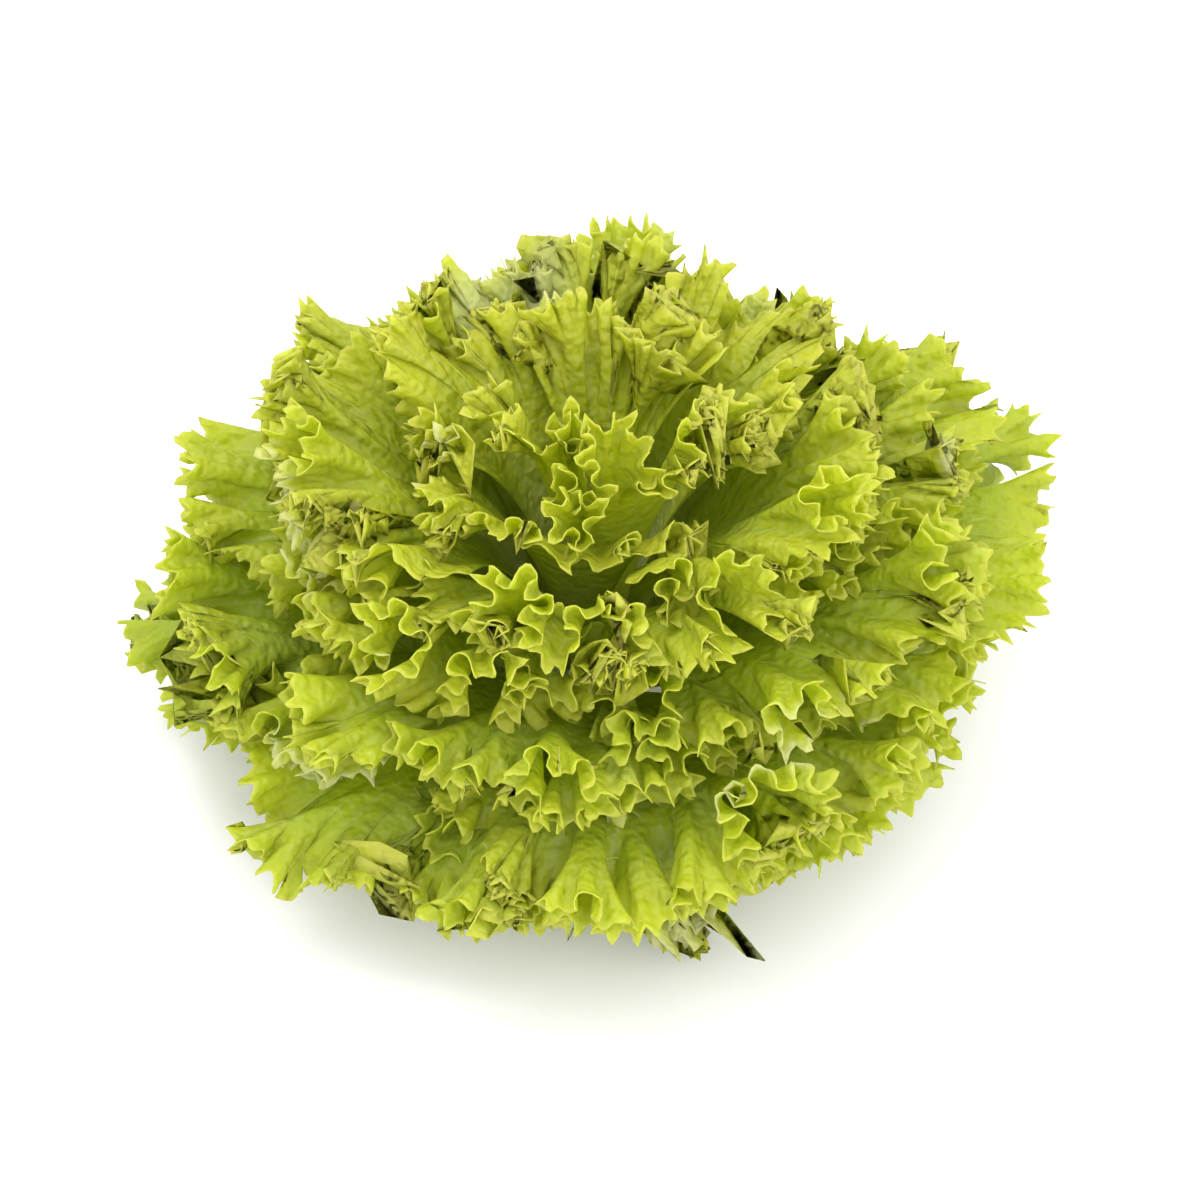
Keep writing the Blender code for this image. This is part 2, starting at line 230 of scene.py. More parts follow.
@dataclass
class LeafForm:
    """The shape of one leaf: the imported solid's own waves, and finer ones on top of them."""

    head: HeadForm
    number: int
    solid: Array
    root_share: float = 0.46
    spread_power: float = 0.8
    sides_outer: float = 0.32
    sides_heart: float = 0.14
    side_power: float = 2.4
    outline_variation: float = 0.040
    outline_waves: int = 5
    azimuth_jitter: float = 0.07
    layer_slant: float = 0.015
    width_range: tuple[float, float] = (0.92, 1.06)
    reach_range: tuple[float, float] = (0.92, 1.06)
    solid_waves: tuple[Wave, ...] = (
        Wave(0.075, 0.12, 0.02, 0.04, 0.085, 1.5),
        Wave(0.030, 0.22, 0.04, 0.08, 0.040, 1.3),
    )
    waves: tuple[Wave, ...] = (
        Wave(0.075, 0.15, 0.04, 0.08, 0.085, 1.5),
        Wave(0.030, 0.56, 0.22, 0.18, 0.042, 1.5),
        Wave(0.0145, 0.32, 0.11, 0.15, 0.018, 1.2),
    )
    longest_band: float = 0.5
    least_swing: float = 0.1
    limit_power: float = 4.0
    curl_outer: float = 0.0045
    curl_heart: float = 0.0035
    curl_band: float = 0.045
    curl_variation: float = 0.9
    curl_waves: int = 3
    curl_pull: float = 0.4
    temper_range: tuple[float, float] = (0.85, 1.10)
    wave_variation: float = 0.28
    swell_waves: int = 6
    phase_drift: float = 0.12
    drift_waves: int = 3
    fine_variation: float = 0.18
    fine_swell_waves: int = 9
    fine_drift_waves: int = 6
    middle_points: int = 50
    ruffle_end: float = 0.014
    band_end: float = 0.040
    solid_room: float = 0.85
    room_filled: float = 2.2
    calm_sides: float = 3.0
    calm_corners: float = 14.0
    axis_room: float = 0.5
    squareness_power: float = 1.5
    heart_fineness: float = 0.30
    room_edge: float = math.radians(9) / 0.02
    margin_step: float = 0.0014
    tooth: float = 0.0060
    tooth_band: float = 0.009
    tooth_gaps: tuple[float, float] = (0.005, 0.010)
    tooth_lean: float = 0.25
    tooth_inset: float = 0.25
    tooth_power: float = 1.5
    tip_range: tuple[float, float] = (0.35, 0.65)
    lowest: float = 0.0012
    floor_softness: float = 0.006
    most_draws: int = 400
    beside_margin: tuple[float, float, float] = (0.98, 0.99, 1.0)
    dense_columns: Array = field(default_factory=lambda: np.linspace(-1, 1, 4000))

    def __post_init__(self) -> None:
        """Finds the leaf's random draw, then follows its margin."""
        self.layer = self.number / (self.head.leaves - 1)
        rng = self.find_draw()
        self.outline = wander(rng, self.outline_waves, self.outline_variation)
        sets = range(len(self.solid_waves))
        self.starts = [rng.uniform(0, 2 * math.pi) for _ in sets]
        self.swells = [wander(rng, self.swell_waves, self.wave_variation) for _ in sets]
        self.drifts = [wander(rng, self.drift_waves, self.phase_drift) for _ in sets]
        self.rng = np.random.default_rng((self.head.seed, self.number, self.most_draws))
        self.curl = wander(self.rng, self.curl_waves, self.curl_variation)
        self.temper = self.rng.uniform(*self.temper_range)
        for _ in self.waves[len(self.solid_waves) :]:
            self.starts.append(self.rng.uniform(0, 2 * math.pi))
            self.swells.append(wander(self.rng, self.fine_swell_waves, self.fine_variation))
            self.drifts.append(wander(self.rng, self.fine_drift_waves, 2 * self.phase_drift))
        shares = np.linspace(0, 1, self.middle_points)[:, None]
        middle = self.smooth_sheet(np.zeros((1, 1)), shares)[:, 0]
        self.length = run_along(middle)[-1]
        self.calm, self.vigour = self.room(self.dense_columns)
        self.follow_margin()

    def find_draw(self) -> np.random.Generator:
        """Finds the random draw that put this leaf's root corners where its solid has them.

        Returns:
            The generator, just after its first draws.
        """
        for draw in range(self.most_draws):
            rng = np.random.default_rng((self.head.seed, self.number, draw))
            jitter = rng.uniform(-self.azimuth_jitter, self.azimuth_jitter)
            self.azimuth = self.number * self.head.golden_angle + jitter
            self.half_width = self.head.width_at(self.layer) * rng.uniform(*self.width_range)
            self.reach = rng.uniform(*self.reach_range)
            self.slant = rng.uniform(-self.layer_slant, self.layer_slant)
            if all(self.is_in_solid(self.root_corner(side)) for side in (-1, 1)):
                return rng
        raise ValueError(f"leaf {self.number + 1} has a solid that no draw fits")

    def root_corner(self, side: float) -> Array:
        """Where the middle of the sheet meets the stem, at one side of the leaf."""
        azimuth = self.azimuth + self.half_width * self.root_share * side
        return self.head.point(azimuth, self.layer + self.slant * side, 0.0)

    def is_in_solid(self, point: Array, tolerance: float = 5e-6) -> bool:
        """Whether a point lies halfway between the two corners of the solid that are nearest to it."""
        away = np.linalg.norm(self.solid - point, axis=1)
        first, second = self.solid[np.argsort(away)[:2]]
        return bool(np.linalg.norm((first + second) / 2 - point) < tolerance)

    def smooth_sheet(self, column: Array, depth: Array) -> Array:
        """The leaf with no waves in it: a fan whose sides are shorter than its middle."""
        spread = self.root_share + (1 - self.root_share) * depth**self.spread_power
        shortening = self.sides_outer + (self.sides_heart - self.sides_outer) * self.layer
        outline = 1 - shortening * np.abs(column) ** self.side_power
        outline = outline + self.outline(column) * smooth_step(depth)
        azimuth = self.azimuth + self.half_width * spread * column
        return self.head.point(azimuth, self.layer + self.slant * column, depth * self.reach * outline)

    def curled_sheet(self, column: Array, depth: Array) -> Array:
        """The leaf with no waves in it but with its margin curled back, more in some places."""
        sheet = self.smooth_sheet(column, depth)
        _, outward, across = sheet_axes(sheet)
        start = 1 - self.curl_band / self.length
        grown = np.clip((depth - start) / (1 - start), 0, 1) ** 2
        most = self.curl_outer + (self.curl_heart - self.curl_outer) * self.layer
        size = most * (1 + self.curl(column)) * grown
        return sheet + across * size[..., None] - outward * size[..., None] * self.curl_pull

    def room(self, column: Array) -> tuple[Array, Array]:
        """Works out how freely the waves may swing at each column.

        Args:
            column: places across the leaf.

        Returns:
            The most that a wave may rise to either side clear of the next leaves, and the share
            of its height that is left where the leaf's ribs run along the margin.
        """
        head = self.head
        azimuth = self.azimuth + self.half_width * column
        inner, _, margin = self.smooth_sheet(column, np.array(self.beside_margin)[:, None])
        space = self.axis_room * np.hypot(margin[:, 0], margin[:, 1])
        for other in range(head.leaves):
            if other == self.number:
                continue
            layer = other / (head.leaves - 1)
            beside = np.abs(turn_between(azimuth, other * head.golden_angle)) - head.width_at(layer)
            apart = abs(layer - self.layer) * (head.outer_tilt - head.heart_tilt) * head.radius
            space = np.minimum(space, apart + np.maximum(beside, 0) / self.room_edge)
        along, outward = unit(np.gradient(margin, axis=0)), unit(margin - inner)
        squareness = np.linalg.norm(np.cross(along, outward), axis=-1)
        return space / 2, squareness**self.squareness_power

    def add_wave(self, sheet: Array, depth: Array, column: Array, number: int, filled: float) -> Array:
        """Throws a sheet into one set of waves, whose crests overhang and flare at the margin.

        Args:
            sheet: rows of points, root first.
            depth: the rows' depths, one to a row.
            column: the points' columns.
            number: which set of waves.
            filled: the part of the room beside the leaf that the waves may fill, as the solid's
                waves do when it is solid_room.

        Returns:
            The waved rows of points.
        """
        is_solid = filled == self.solid_room
        wave = (self.solid_waves if is_solid else self.waves)[number]
        phase = np.interp(column, self.dense_columns, self.phases[number])
        along, outward, across = sheet_axes(sheet)
        start = 1 - min(wave.band / self.length, 1 if is_solid else self.longest_band)
        grown = np.clip((depth - start) / (1 - start), 0, 1) ** wave.power
        swell = np.maximum(1 + self.swells[number](column), self.least_swing)
        swing = self.lengths[number] * wave.height * swell
        vigour = np.interp(column, self.dense_columns, self.vigour)
        if not is_solid:
            vigour = self.temper * vigour**self.calm_sides * (1 - np.abs(column) ** self.calm_corners)
        swing = swing * vigour
        most = filled * np.interp(column, self.dense_columns, self.calm)
        size = grown * swing / (1 + (swing / most) ** self.limit_power) ** (1 / self.limit_power)
        size = size / wave.height
        over = size * wave.overhang * np.sin(2 * phase)
        back = size * grown * wave.flare * np.sin(phase) ** 2
        rise = size * wave.height * np.sin(phase)
        return sheet + across * rise[..., None] - along * over[..., None] - outward * back[..., None]

    def follow_margin(self) -> None:
        """Works out each set of waves' phase by column, and the columns that divide the margin.

        The solid's sets follow its own margin and the finer ones follow the margin as it ends up.
        """
        column = self.dense_columns
        depth = np.array(self.beside_margin)[:, None]
        sheet = self.smooth_sheet(column, depth)
        self.phases: list[Array] = []
        self.lengths: list[float] = []
        for number, wave in enumerate(self.solid_waves):
            self.set_phase(wave, number, run_along(sheet[-1]))
            sheet = self.add_wave(sheet, depth, column, number, self.solid_room)
        sheet = self.curled_sheet(column, depth)
        for number, wave in enumerate(self.waves):
            if number >= len(self.solid_waves):
                self.set_phase(wave, number, run_along(sheet[-1]))
            sheet = self.add_wave(sheet, depth, column, number, self.room_filled)
        self.run = run_along(sheet[-1])

    def set_phase(self, wave: Wave, number: int, run: Array) -> None:
        """Fits a whole number of one set's waves to the distance along the margin."""
        length = wave.length * (1 - self.heart_fineness * self.layer**2)
        count = max(1, round(run[-1] / length))
        self.lengths.append(min(length, run[-1] / count))
        drift = self.drifts[number](self.dense_columns) + count * run / run[-1]
        self.phases.append(2 * math.pi * drift + self.starts[number])

    def rows(self) -> tuple[Array, list[int]]:
        """Lays out the leaf's rows, close together at the margin.

        Returns:
            Each row's distance from the margin, root first, and how many columns wide the faces
            are between each row and the next.
        """
        ruffle = np.linspace(0, self.ruffle_end, 7)
        band = np.linspace(self.ruffle_end, self.band_end, 8)[1:]
        blade = np.linspace(self.band_end, self.length, 8)[1:]
        from_margin = np.concatenate([ruffle, band, blade])[::-1]
        return from_margin, [8] * len(blade) + [2] * len(band) + [1] * (len(ruffle) - 1)

    def teeth(self, columns: int) -> Array:
        """How far each column's end sticks out, in pointed teeth of random width and height."""
        run = np.linspace(0, self.run[-1], columns)
        ends = np.cumsum(self.rng.uniform(*self.tooth_gaps, int(run[-1] / self.tooth_gaps[0]) + 2))
        tips = ends - self.rng.uniform(*self.tip_range, len(ends)) * np.diff(ends, prepend=0)
        places = np.stack([tips, ends], axis=-1).reshape(-1)
        heights = self.rng.uniform((0.5, 0.0), (1.1, 0.2), (len(ends), 2)).reshape(-1)
        return self.tooth * (np.interp(run, places, heights) ** self.tooth_power - self.tooth_inset)

    def sheet(self) -> tuple[Array, Array, Array, list[int]]:
        """Lays out the waved leaf.

        Returns:
            Rows of points, root first; each one's column and depth; each one's distance from the
            margin and crest, 1 on the waves' tops and -1 in their hollows; and the face widths.
        """
        from_margin, widths = self.rows()
        depth = (1 - from_margin / self.length)[:, None]
        steps = max(1, round(self.run[-1] / self.margin_step / widths[0])) * widths[0]
        column = np.interp(np.linspace(0, self.run[-1], steps + 1), self.run, self.dense_columns)
        points = self.curled_sheet(column, depth)
        # crest, kept in the levels map, makes the margin lighter on the wave tops and darker in the
        # hollows; the darkening in the hollows is painted shade
        crest = np.zeros(points.shape[:2])
        for number, wave in enumerate(self.waves):
            points = self.add_wave(points, depth, column, number, self.room_filled)
            phase = np.interp(column, self.dense_columns, self.phases[number])
            near = np.clip(1 - from_margin / wave.band, 0, 1)[:, None]
            crest += near * np.sin(phase) / len(self.waves)
        along, outward, _ = sheet_axes(points)
        grown = np.clip(1 - from_margin / self.tooth_band, 0, 1)[:, None]
        grown = grown * (1 - np.abs(column) ** self.calm_corners)
        teeth = (grown * self.teeth(steps + 1))[..., None]
        points = points + outward * teeth + along * teeth * self.tooth_lean
        above = np.logaddexp(0, (points[..., 2] - self.lowest) / self.floor_softness)
        points[..., 2] = self.lowest + self.floor_softness * above
        places = np.stack(np.broadcast_arrays((column + 1) / 2, depth), axis=-1)
        levels = np.stack(np.broadcast_arrays(from_margin[:, None] * 10, (crest + 1) / 2), axis=-1)
        return points, places, levels, widths


class Value:
    """A number in a shader. Arithmetic on it adds Math nodes."""

    def __init__(self, shader: "Shader", socket: bpy.types.NodeSocket) -> None:
        """Wraps an output socket of a shader's node."""
        self.shader = shader
        self.socket = socket

    def math(self, operation: str, *others: Any, first: Any = None) -> "Value":
        """One Math node.

        Args:
            operation: the node's operation.
            others: the inputs after the first.
            first: the first input, where it isn't self.

        Returns:
            Its result.
        """
        values = (self if first is None else first, *others)
        node = self.shader.add("ShaderNodeMath", {"operation": operation}, dict(enumerate(values)))
        return Value(self.shader, node.outputs[0])

    def __add__(self, other: Any) -> "Value":
        """Self + other."""
        return self.math("ADD", other)

    def __radd__(self, other: Any) -> "Value":
        """Other + self."""
        return self.math("ADD", self, first=other)

    def __sub__(self, other: Any) -> "Value":
        """Self - other."""
        return self.math("SUBTRACT", other)

    def __rsub__(self, other: Any) -> "Value":
        """Other - self."""
        return self.math("SUBTRACT", self, first=other)

    def __mul__(self, other: Any) -> "Value":
        """Self * other."""
        return self.math("MULTIPLY", other)

    def __rmul__(self, other: Any) -> "Value":
        """Other * self."""
        return self.math("MULTIPLY", self, first=other)

    def __truediv__(self, other: Any) -> "Value":
        """Self / other."""
        return self.math("DIVIDE", other)

    def __abs__(self) -> "Value":
        """The size of self."""
        return self.math("ABSOLUTE")

    def most(self, other: Any) -> "Value":
        """The greater of self and other."""
        return self.math("MAXIMUM", other)

    def step(self, low: float, high: float) -> "Value":
        """0 below low to 1 above high, smoothly. With low above high it falls instead."""
        settings = {"interpolation_type": "SMOOTHSTEP"}
        inputs = {"Value": self, "From Min": low, "From Max": high}
        return Value(self.shader, self.shader.add("ShaderNodeMapRange", settings, inputs).outputs[0])

    def line(self, width: float) -> "Value":
        """1 on whole numbers, falling to 0 at a width on both sides of them."""
        off = abs((self + 0.5).math("FRACT") - 0.5)
        return off.step(width, 0.0)


class Shader:
    """The nodes of one material."""

    def __init__(self, name: str) -> None:
        """Starts a material with just its output node."""
        self.material = bpy.data.materials.new(name)
        self.material.use_nodes = True
        self.tree = self.material.node_tree
        self.tree.nodes.clear()

    def add(self, kind: str, settings: dict[str, Any], inputs: dict[Any, Any]) -> bpy.types.Node:
        """Adds a node.

        Args:
            kind: the node's type.
            settings: its properties, by name.
            inputs: values or links of its sockets, by name or place.

        Returns:
            The node.
        """
        node = self.tree.nodes.new(kind)
        for name, setting in settings.items():
            setattr(node, name, setting)
        for key, value in inputs.items():
            socket = node.inputs[key]
            if isinstance(value, Value):
                self.tree.links.new(value.socket, socket)
            elif isinstance(value, bpy.types.NodeSocket):
                self.tree.links.new(value, socket)
            else:
                socket.default_value = (*value, 1) if self.is_colour(socket, value) else value
        return node

    def is_colour(self, socket: bpy.types.NodeSocket, value: Any) -> bool:
        """Whether a value is a colour that lacks its alpha."""
        return socket.type == "RGBA" and len(value) == 3

    def mix(self, under: Any, over: Any, factor: Value) -> bpy.types.NodeSocket:
        """Lays one colour over another by a factor."""
        settings = {"data_type": "RGBA", "clamp_factor": True}
        node = self.add("ShaderNodeMix", settings, {"Factor": factor, 6: under, 7: over})
        return node.outputs[2]

    def uv(self, name: str) -> tuple[Value, Value]:
        """The two numbers that a UV map holds."""
        uv = self.add("ShaderNodeUVMap", {"uv_map": name}, {})
        parts = self.add("ShaderNodeSeparateXYZ", {}, {"Vector": uv.outputs[0]})
        return Value(self, parts.outputs[0]), Value(self, parts.outputs[1])

    def place(self) -> bpy.types.NodeSocket:
        """The place on the object."""
        return self.add("ShaderNodeTexCoord", {}, {}).outputs["Object"]

    def noise(self, scale: float, detail: float = 3.0, roughness: float = 0.5) -> Value:
        """Clouds from 0 to 1, so many to a metre."""
        inputs = {"Vector": self.place(), "Scale": scale, "Detail": detail, "Roughness": roughness}
        return Value(self, self.add("ShaderNodeTexNoise", {}, inputs).outputs[0])

    def edges_of_cells(self, scale: float) -> Value:
        """Distance to the edges of random cells, so many to a metre."""
        settings = {"feature": "DISTANCE_TO_EDGE"}
        inputs = {"Vector": self.place(), "Scale": scale, "Randomness": 0.9}
        return Value(self, self.add("ShaderNodeTexVoronoi", settings, inputs).outputs[0])

    def bump(self, height: Value, distance: float, strength: float) -> bpy.types.NodeSocket:
        """A normal for a surface of this height."""
        inputs = {"Height": height, "Distance": distance, "Strength": strength}
        return self.add("ShaderNodeBump", {}, inputs).outputs[0]

    def finish(self, surface: bpy.types.NodeSocket) -> bpy.types.Material:
        """Links the surface to the output."""
        self.add("ShaderNodeOutputMaterial", {}, {"Surface": surface})
        return self.material


def between(a: Colour, b: Colour, share: float) -> Colour:
    """A colour part of the way from one to another."""
    return tuple(x + (y - x) * share for x, y in zip(a, b))


@dataclass(frozen=True)
class LeafFinish:
    """The living surface of a leaf, yellower towards the heart."""

    heart: float
    pallor: float = 0.0
    root: Colour = (0.62, 0.66, 0.30)
    blade_outer: Colour = (0.36, 0.47, 0.03)
    blade_heart: Colour = (0.56, 0.60, 0.03)
    frill_outer: Colour = (0.61, 0.64, 0.04)
    frill_heart: Colour = (0.76, 0.74, 0.06)
    rim_outer: Colour = (0.70, 0.70, 0.10)
    rim_heart: Colour = (0.80, 0.76, 0.14)
    vein: Colour = (0.58, 0.64, 0.20)
    pale: Colour = (0.86, 0.88, 0.62)
    dry: Colour = (0.82, 0.80, 0.46)
    dry_from: float = 0.70
    dry_width: float = 0.005
    glow: Colour = (0.67, 0.74, 0.02)
    roughness: float = 0.42
    translucency: float = 0.56
    blisters: float = 260.0
    ribs: int = 9
    branches: int = 27
    rib_width: float = 0.055
    branch_width: float = 0.07
    rib_bend: float = 0.25
    midrib_edges: tuple[float, float] = (0.035, 0.008)
    vein_cells: float = 150.0
    vein_width: float = 0.10
    blotch_scale: float = 45.0
    dry_scale: float = 22.0
    fade_scale: float = 18.0
    blister_height: float = 0.0030
    rim_width: float = 0.0016
    frill_width: float = 0.030

    def build(self, name: str) -> bpy.types.Material:
        """Builds the material of one leaf.

        Args:
            name: the material's name.

        Returns:
            The material.
        """
        shader = Shader(name)
        across, depth = shader.uv("places")
        from_margin, crest = shader.uv("levels")
        from_margin = from_margin * 0.1
        blotches = shader.noise(self.blotch_scale, 1.0)
        fine_veins = shader.edges_of_cells(self.vein_cells).step(self.vein_width, 0.0)
        bend = (blotches - 0.5) * self.rib_bend
        ribs = (across * self.ribs + bend).line(self.rib_width)
        branches = (across * self.branches + 2.0 * bend).line(self.branch_width)
        branches = branches * depth.step(0.35, 0.6)
        midrib = abs(across - 0.5).step(*self.midrib_edges) * depth.step(1.0, 0.45)
        veins = (ribs * 0.8).most(branches * 0.55).most(midrib).most(fine_veins * 0.45)
        blade = between(self.blade_outer, self.blade_heart, self.heart)
        frill = between(self.frill_outer, self.frill_heart, self.heart)
        rim = between(self.rim_outer, self.rim_heart, self.heart)
        colour = shader.mix(self.root, blade, depth.step(0.05, 0.62))
        near = from_margin.step(self.frill_width, 0.003)
        # Painted shade, partly real colour: near the margin the yellower frill colour goes on fully at
        # the wave tops and fades out in the hollows, which keep the darker blade green as painted
        # shade; the thin crests' yellowing is the leaf's own colour
        colour = shader.mix(colour, frill, near * (0.35 + crest * 0.65))
        colour = shader.mix(colour, blade, blotches.step(0.52, 0.75) * 0.45)
        colour = shader.mix(colour, self.vein, veins * (0.75 - near * 0.4))
        colour = shader.mix(colour, rim, from_margin.step(self.rim_width, self.rim_width / 4))
        dry = shader.noise(self.dry_scale, 0.0).step(self.dry_from, self.dry_from + 0.05)
        colour = shader.mix(colour, self.dry, dry * from_margin.step(self.dry_width, 0.0) * 0.8)
        if self.pallor:
            faded = shader.noise(self.fade_scale, 1.0).step(0.45, 0.6) * depth.step(0.6, 0.95)
            colour = shader.mix(colour, self.pale, self.pallor * faded)
        blisters = shader.noise(self.blisters, 1.0)
        inputs = {
            "Base Color": colour,
            "Roughness": self.roughness,
            "Specular IOR Level": 0.45,
            "Normal": shader.bump(blisters, self.blister_height, 0.8),
        }
        surface = shader.add("ShaderNodeBsdfPrincipled", {}, inputs).outputs[0]
        light = shader.add("ShaderNodeBsdfTranslucent", {}, {"Color": self.glow}).outputs[0]
        inputs = {0: self.translucency, 1: surface, 2: light}
        return shader.finish(shader.add("ShaderNodeMixShader", {}, inputs).outputs[0])


@dataclass(frozen=True)
class StemFinish:
    """The white stem, browned and ringed where it was cut."""

    flesh: Colour = (0.78, 0.80, 0.62)
    skin: Colour = (0.66, 0.72, 0.42)
    browned: Colour = (0.42, 0.24, 0.09)
    young: Colour = (0.56, 0.60, 0.08)
    young_from: float = 0.030
    cut_height: float = 0.0016

    def build(self, name: str) -> bpy.types.Material:
        """Builds the stem's material.

        Args:
            name: the material's name.

        Returns:
            The material.
        """
        shader = Shader(name)
        parts = shader.add("ShaderNodeSeparateXYZ", {}, {"Vector": shader.place()})
        x, y, z = (Value(shader, part) for part in parts.outputs)
        out = (x * x + y * y).math("SQRT")
        on_cut = z.step(self.cut_height, self.cut_height / 2)
        ring = (out * 420.0 + shader.noise(160.0)).line(0.3) * 0.35
        stain = shader.noise(300.0, 5.0).step(0.42, 0.66) * 0.7 + ring
        colour = shader.mix(self.skin, self.flesh, shader.noise(90.0))
        colour = shader.mix(colour, self.browned, on_cut * stain)
        colour = shader.mix(colour, self.young, z.step(self.young_from, 1.5 * self.young_from))
        grooves = shader.noise(700.0, 2.0)
        inputs = {
            "Base Color": colour,
            "Roughness": 0.5 + 0.2 * on_cut,
            "Normal": shader.bump(grooves, 0.0004, 0.5),
        }
        return shader.finish(shader.add("ShaderNodeBsdfPrincipled", {}, inputs).outputs[0])


@dataclass(frozen=True)
class FloorFinish:
    """Matt white paper."""

    colour: Colour = (0.90, 0.90, 0.90)
    roughness: float = 0.9

    def build(self, name: str) -> bpy.types.Material:
        """Builds the floor's material.

        Args:
            name: the material's name.

        Returns:
            The material.
        """
        shader = Shader(name)
        inputs = {"Base Color": self.colour, "Roughness": self.roughness}
        return shader.finish(shader.add("ShaderNodeBsdfPrincipled", {}, inputs).outputs[0])


def set_smooth(piece: bpy.types.Object, angle: float) -> None:
    """Shades a piece smoothly but for its edges sharper than an angle in degrees."""
    bpy.ops.object.select_all(action="DESELECT")
    piece.select_set(True)
    bpy.context.view_layer.objects.active = piece
    bpy.ops.object.shade_smooth_by_angle(angle=math.radians(angle))


@dataclass
class RuffledLeaf:
    """One leaf as a mesh: a grid of faces laid on its form, then given its thickness."""

    form: LeafForm
    finish: LeafFinish
    slot: Slot
    thickness: float = 0.00035

    @property
    def name(self) -> str:
        """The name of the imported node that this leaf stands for."""
        return f"leaf_{self.form.number + 1:02d}"

    def build(self) -> bpy.types.Object:
        """Makes the leaf and puts it in the place of its solid.

        Returns:
            The finished piece.
        """
        points, places, levels, widths = self.form.sheet()
        piece = self.add_grid(points)
        self.add_uv_map(piece.data, "places", places)
        self.add_uv_map(piece.data, "levels", levels)
        self.widen_faces(piece, widths, points.shape[1])
        self.thicken(piece)
        piece.data.materials.append(self.finish.build(f"{self.slot.value} {self.form.number + 1}"))
        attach(piece, "root")
        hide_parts(self.name)
        return piece

    def add_grid(self, points: Array) -> bpy.types.Object:
        """Adds a grid and moves its corners to the sheet's points, row by row."""
        rows, columns, _ = points.shape
        bpy.ops.object.select_all(action="DESELECT")
        bpy.ops.mesh.primitive_grid_add(x_subdivisions=columns - 1, y_subdivisions=rows - 1)
        piece = bpy.context.object
        piece.name = piece.data.name = f"{self.name}_ruffled"
        piece.data.vertices.foreach_set("co", points.reshape(-1).astype(np.float32))
        piece.data.uv_layers.remove(piece.data.uv_layers[0])
        return piece

    def add_uv_map(self, mesh: bpy.types.Mesh, name: str, values: Array) -> None:
        """Gives every corner of every face the two values of its point."""
        corners = np.zeros(len(mesh.loops), int)
        mesh.loops.foreach_get("vertex_index", corners)
        layer = mesh.uv_layers.new(name=name)
        layer.data.foreach_set("uv", values.reshape(-1, 2)[corners].reshape(-1).astype(np.float32))

    def widen_faces(self, piece: bpy.types.Object, widths: list[int], columns: int) -> None:
        """Joins neighbouring faces in the rows away from the margin, by dissolving their edges.

        Args:
            piece: the leaf's grid.
            widths: how many columns wide each row's faces are to be.
            columns: how many points a row has.
        """
        mesh = piece.data
        ends = np.zeros(2 * len(mesh.edges), int)
        mesh.edges.foreach_get("vertices", ends)
        row, column = np.divmod(np.sort(ends.reshape(-1, 2)), columns)
        goes_up = row[:, 0] < row[:, 1]
        wide = np.array([*widths, 1])[row[:, 0]]
        bpy.ops.object.mode_set(mode="EDIT")
        bpy.context.tool_settings.mesh_select_mode = (False, True, False)
        bpy.ops.mesh.select_all(action="DESELECT")
        bpy.ops.object.mode_set(mode="OBJECT")
        mesh.edges.foreach_set("select", goes_up & (column[:, 0] % wide != 0))
        bpy.ops.object.mode_set(mode="EDIT")
        bpy.ops.mesh.dissolve_edges(use_verts=True)
        bpy.ops.object.mode_set(mode="OBJECT")

    def thicken(self, piece: bpy.types.Object) -> None:
        """Closes the sheet into a thin leaf and shades it smoothly."""
        solid = piece.modifiers.new("thickness", "SOLIDIFY")
        solid.thickness = self.thickness
        solid.offset = 0
        bpy.ops.object.modifier_apply(modifier=solid.name)
        set_smooth(piece, 180)


@dataclass
class CutStem:
    """The stem, turned round its axis from the flat cut end up to its growing tip."""

    head: HeadForm
    finish: StemFinish
    sides: int = 96
    foot_bevel: float = 0.0012
    rings: tuple[float, ...] = (0.0012, 0.004, 0.010, 0.018, 0.026, 0.034, 0.042, 0.048, 0.054)
    tip_rounding: float = 0.002

    def build(self) -> bpy.types.Object:
        """Makes the stem and puts it in the place of its solid.

        Returns:
            The finished piece.
        """
        radius = self.head.stem_radius - self.foot_bevel
        bpy.ops.object.select_all(action="DESELECT")
        bpy.ops.mesh.primitive_circle_add(vertices=self.sides, radius=radius, fill_type="NGON")
        piece = bpy.context.object
        piece.name = piece.data.name = "cut_stem"
        bpy.ops.object.mode_set(mode="EDIT")
        bpy.ops.mesh.select_all(action="SELECT")
        height = 0.0
        for ring in self.rings:
            height, radius = ring, self.rise(ring - height, radius, float(self.head.stem_at(ring)))
        self.rise(self.tip_rounding, radius, radius / 3)
        bpy.ops.object.mode_set(mode="OBJECT")
        set_smooth(piece, 40)
        piece.data.materials.append(self.finish.build(Slot.STEM.value))
        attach(piece, "root")
        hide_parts("stem")
        return piece

    def rise(self, step: float, radius: float, target: float) -> float:
        """Extrudes the stem's end upwards and brings it to a new radius, which is returned."""
        bpy.ops.mesh.extrude_region_move(TRANSFORM_OT_translate={"value": (0, 0, step)})
        share = target / radius
        bpy.ops.transform.resize(value=(share, share, 1), center_override=(0, 0, 0))
        return target


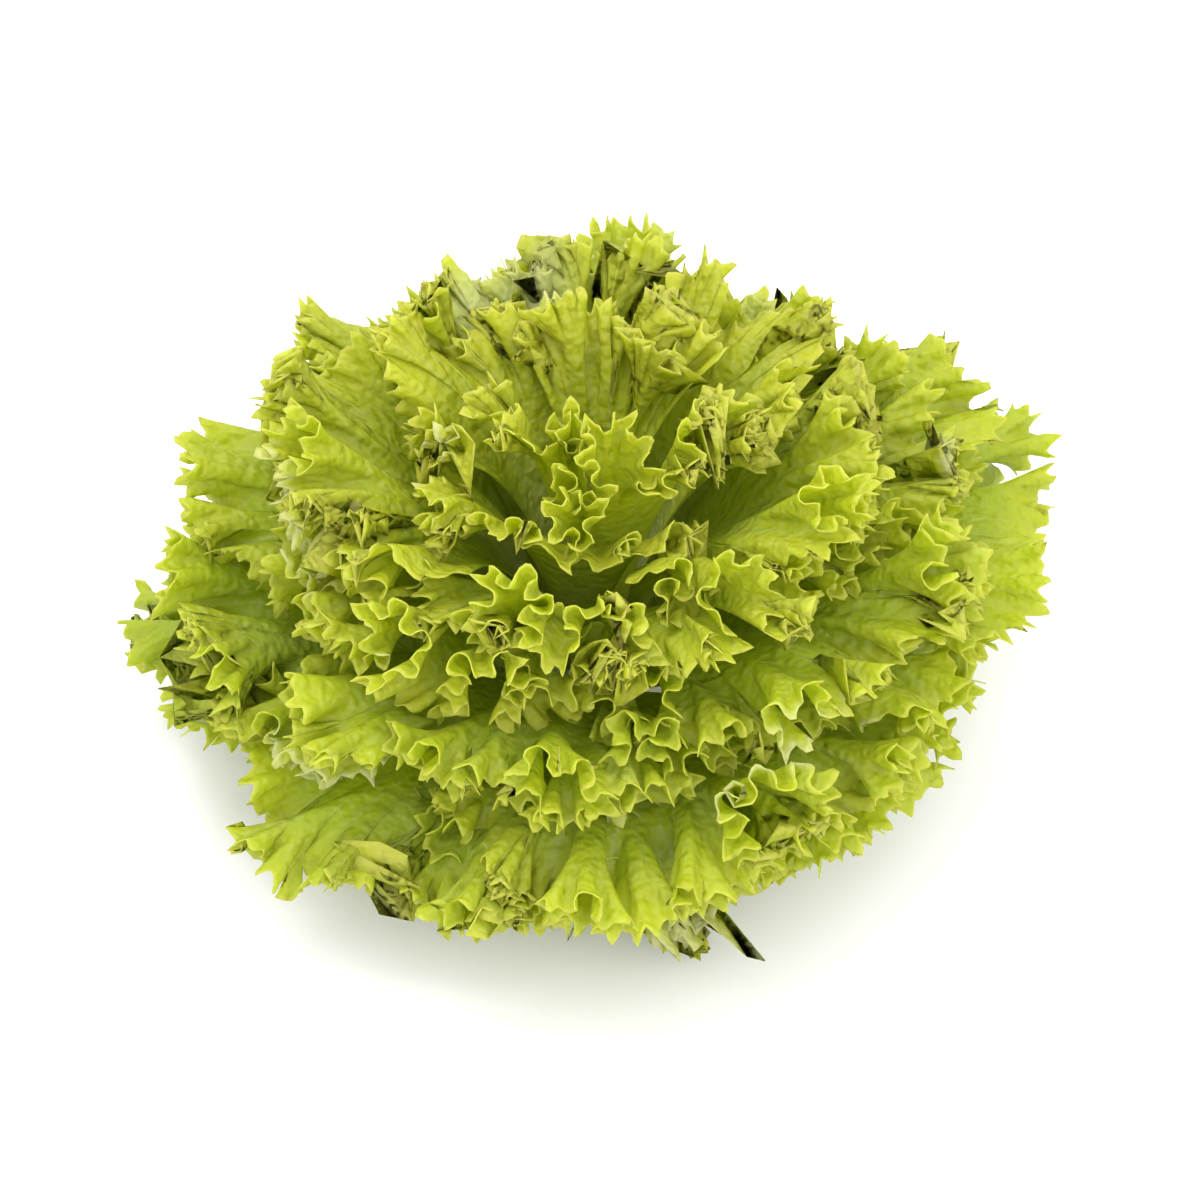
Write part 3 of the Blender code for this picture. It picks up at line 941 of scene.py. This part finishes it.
@dataclass
class Head:
    """The whole head: its stem and its leaves, outermost first."""

    form: HeadForm
    heart_from: float = 0.75
    pale_leaves: tuple[int, ...] = (18, 26)
    pallor: float = 0.55
    tone_range: tuple[float, float] = (-0.12, 0.28)

    def build(self) -> None:
        """Builds each piece and reports it."""
        report(CutStem(self.form, StemFinish()).build())
        for number in range(self.form.leaves):
            layer = number / (self.form.leaves - 1)
            slot = Slot.HEART if layer >= self.heart_from else Slot.LEAF
            pallor = self.pallor if number + 1 in self.pale_leaves else 0.0
            tone = np.random.default_rng((self.form.seed, number)).uniform(*self.tone_range)
            finish = LeafFinish(heart=min(max(layer**1.5 + tone, 0.0), 1.0), pallor=pallor)
            leaf = LeafForm(self.form, number, self.corners_of(number))
            report(RuffledLeaf(leaf, finish, slot).build())

    def corners_of(self, number: int) -> Array:
        """The corners of a packed leaf's solid, each once."""
        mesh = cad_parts[f"leaf_{number + 1:02d}"].data
        corners = np.zeros(3 * len(mesh.vertices))
        mesh.vertices.foreach_get("co", corners)
        return np.unique(corners.reshape(-1, 3).round(7), axis=0)


@dataclass(frozen=True)
class Light:
    """A soft lamp: where it hangs, how wide it is, and its power in watts."""

    name: str
    place: tuple[float, float, float]
    size: float
    power: float


@dataclass
class Studio:
    """A white floor, soft light from above and a camera at the photograph's angle."""

    target: tuple[float, float, float] = (0.0016, -0.0040, 0.0579)
    elevation: float = math.radians(44)
    distance: float = 1.15
    lens: float = 110.5
    sensor: float = 36.0
    floor_size: float = 6.0
    sky: float = 1.6
    lights: tuple[Light, ...] = (
        Light("window", (-0.35, 0.10, 1.4), 0.8, 9.0),
        Light("fill", (0.7, -1.0, 0.9), 0.9, 6.0),
    )

    def build(self) -> None:
        """Builds the floor, the lights and the camera."""
        self.add_floor()
        self.add_sky()
        for light in self.lights:
            self.add_light(light)
        self.add_camera()

    def add_floor(self) -> None:
        """The floor that the head stands on."""
        bpy.ops.object.select_all(action="DESELECT")
        bpy.ops.mesh.primitive_plane_add(size=self.floor_size)
        floor = bpy.context.object
        floor.name = "floor"
        floor.data.materials.append(FloorFinish().build("paper"))

    def add_sky(self) -> None:
        """Even light from all round."""
        world = bpy.data.worlds.new("studio")
        world.use_nodes = True
        background = world.node_tree.nodes["Background"]
        background.inputs["Color"].default_value = (1, 1, 1, 1)
        background.inputs["Strength"].default_value = self.sky
        bpy.context.scene.world = world

    def add_light(self, light: Light) -> None:
        """A soft lamp that points at the head."""
        lamp = bpy.data.lights.new(light.name, "AREA")
        lamp.size = light.size
        lamp.energy = light.power
        thing = bpy.data.objects.new(light.name, lamp)
        bpy.context.collection.objects.link(thing)
        self.aim(thing, Vector(light.place))

    def add_camera(self) -> None:
        """The camera, which looks down at the head from its front."""
        camera = bpy.data.cameras.new("camera")
        camera.lens = self.lens
        camera.sensor_width = self.sensor
        thing = bpy.data.objects.new("camera", camera)
        bpy.context.collection.objects.link(thing)
        back, up = math.cos(self.elevation), math.sin(self.elevation)
        self.aim(thing, Vector(self.target) + Vector((0, -back, up)) * self.distance)
        bpy.context.scene.camera = thing
        bpy.context.scene.view_settings.view_transform = "Standard"

    def aim(self, thing: bpy.types.Object, place: Vector) -> None:
        """Puts a thing at a place, turned towards the head."""
        thing.location = place
        thing.rotation_euler = (Vector(self.target) - place).to_track_quat("-Z", "Y").to_euler()


def report(piece: bpy.types.Object) -> None:
    """Logs a piece's name and how many faces it has."""
    log.info("%s: %d faces", piece.name, len(piece.data.polygons))


def main() -> None:
    """Builds the head on its solids, then the studio."""
    logging.basicConfig(level=logging.INFO, format="%(message)s")
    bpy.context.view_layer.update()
    Head(HeadForm()).build()
    Studio().build()
    bpy.context.view_layer.update()


if __name__ == "__main__":
    main()
